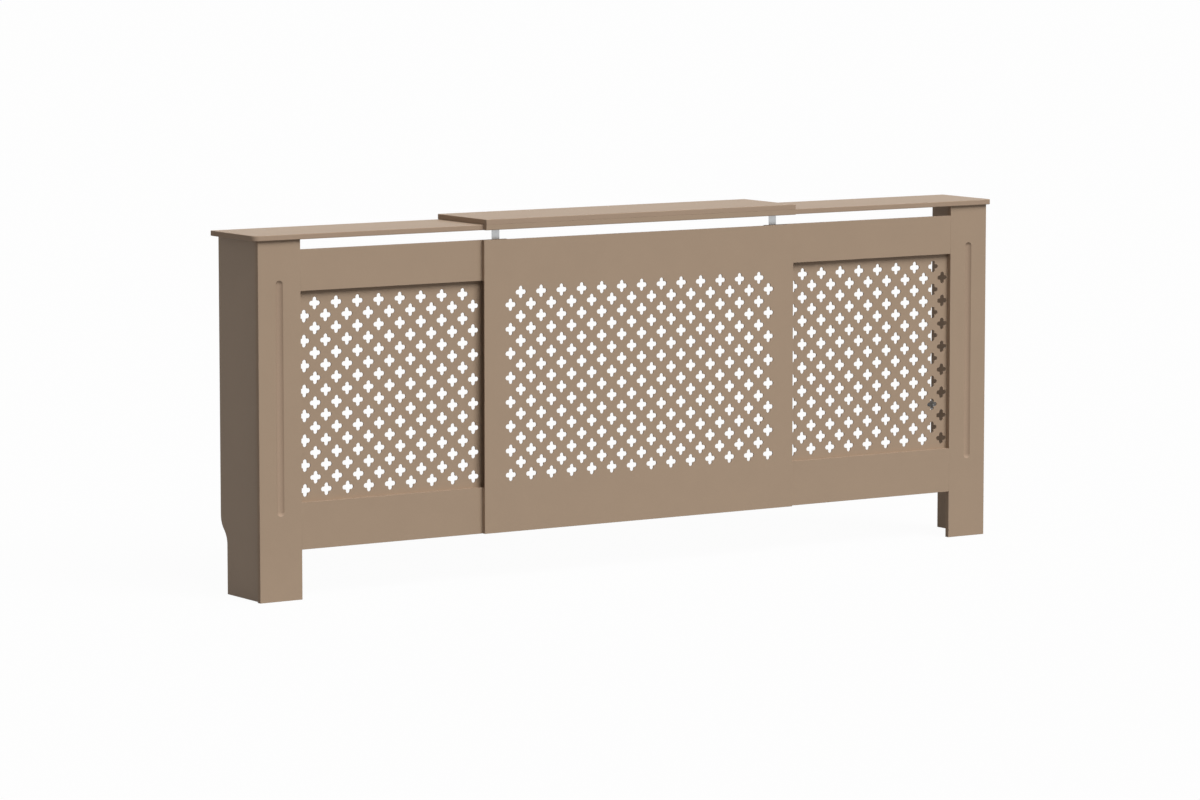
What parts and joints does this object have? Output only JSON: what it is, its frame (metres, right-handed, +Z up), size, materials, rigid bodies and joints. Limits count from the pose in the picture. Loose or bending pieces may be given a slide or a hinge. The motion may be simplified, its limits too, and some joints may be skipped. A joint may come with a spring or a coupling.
{
  "type": "radiator cover",
  "caption": "Long extending radiator cover: grooved posts, pierced grilles that slide behind a raised pierced centre panel, and a loose centre top over two end tops.",
  "frame": {"origin": "on the floor, in the middle of the cover's outline", "axes": "+X along the wall to the right, +Y from the room towards the wall, +Z up"},
  "size_m": [2.042, 0.21, 0.8284],
  "materials": {
    "fibreboard": "sanded, unpainted",
    "hardboard": "sanded, unpainted",
    "softwood": "planed, bare",
    "beech": "turned, bare",
    "zinc_plated_steel": "bright zinc plate"
  },
  "bodies": {
    "centre_panel": {"centre_face_sheet": "hardboard", "centre_top_batten": "fibreboard", "centre_bottom_batten": "fibreboard", "centre_left_stile": "fibreboard", "centre_right_stile": "fibreboard"},
    "centre_top": {"centre_top_board": "fibreboard", "centre_top_lip": "fibreboard", "lip_dowels": "beech"},
    "left_end": {"left_post": "fibreboard", "left_side_panel": "fibreboard", "left_corner_batten": "softwood", "left_top_rail": "fibreboard", "left_bottom_rail": "fibreboard", "left_rail_dowels": "beech", "left_grille": "hardboard", "left_grille_screws": "zinc_plated_steel", "left_top_board": "fibreboard", "left_rail_bracket": "zinc_plated_steel", "left_top_brackets": "zinc_plated_steel", "left_wall_plates": "zinc_plated_steel", "left_bracket_screws": "zinc_plated_steel", "left_slide_bolts": "zinc_plated_steel", "left_slide_washers": "zinc_plated_steel"},
    "left_upper_nut": {"left_upper_wing_nut": "zinc_plated_steel"},
    "left_lower_nut": {"left_lower_wing_nut": "zinc_plated_steel"},
    "right_end": {"right_post": "fibreboard", "right_side_panel": "fibreboard", "right_corner_batten": "softwood", "right_top_rail": "fibreboard", "right_bottom_rail": "fibreboard", "right_rail_dowels": "beech", "right_grille": "hardboard", "right_grille_screws": "zinc_plated_steel", "right_top_board": "fibreboard", "right_rail_bracket": "zinc_plated_steel", "right_top_brackets": "zinc_plated_steel", "right_wall_plates": "zinc_plated_steel", "right_bracket_screws": "zinc_plated_steel", "right_slide_bolts": "zinc_plated_steel", "right_slide_washers": "zinc_plated_steel"},
    "right_upper_nut": {"right_upper_wing_nut": "zinc_plated_steel"},
    "right_lower_nut": {"right_lower_wing_nut": "zinc_plated_steel"}
  },
  "joints": [
    {"name": "left_end_slide", "type": "slide", "parent": "centre_panel", "child": "left_end", "axis": [1, 0, 0], "range_m": [0, 0.35]},
    {"name": "right_end_slide", "type": "slide", "parent": "centre_panel", "child": "right_end", "axis": [-1, 0, 0], "range_m": [0, 0.35]},
    {"name": "centre_top_slide", "type": "slide", "parent": "centre_panel", "child": "centre_top", "axis": [1, 0, 0], "range_m": [-0.05, 0.05]},
    {"name": "left_upper_nut_turn", "type": "hinge", "parent": "left_end", "child": "left_upper_nut", "pos_m": [-0.4105, -0.0711, 0.7347], "axis": [0, 1, 0], "range_deg": [-360, 360]},
    {"name": "left_lower_nut_turn", "type": "hinge", "parent": "left_end", "child": "left_lower_nut", "pos_m": [-0.4105, -0.0711, 0.1645], "axis": [0, 1, 0], "range_deg": [-360, 360]},
    {"name": "right_upper_nut_turn", "type": "hinge", "parent": "right_end", "child": "right_upper_nut", "pos_m": [0.4105, -0.0711, 0.7347], "axis": [0, 1, 0], "range_deg": [-360, 360]},
    {"name": "right_lower_nut_turn", "type": "hinge", "parent": "right_end", "child": "right_lower_nut", "pos_m": [0.4105, -0.0711, 0.1645], "axis": [0, 1, 0], "range_deg": [-360, 360]}
  ]
}
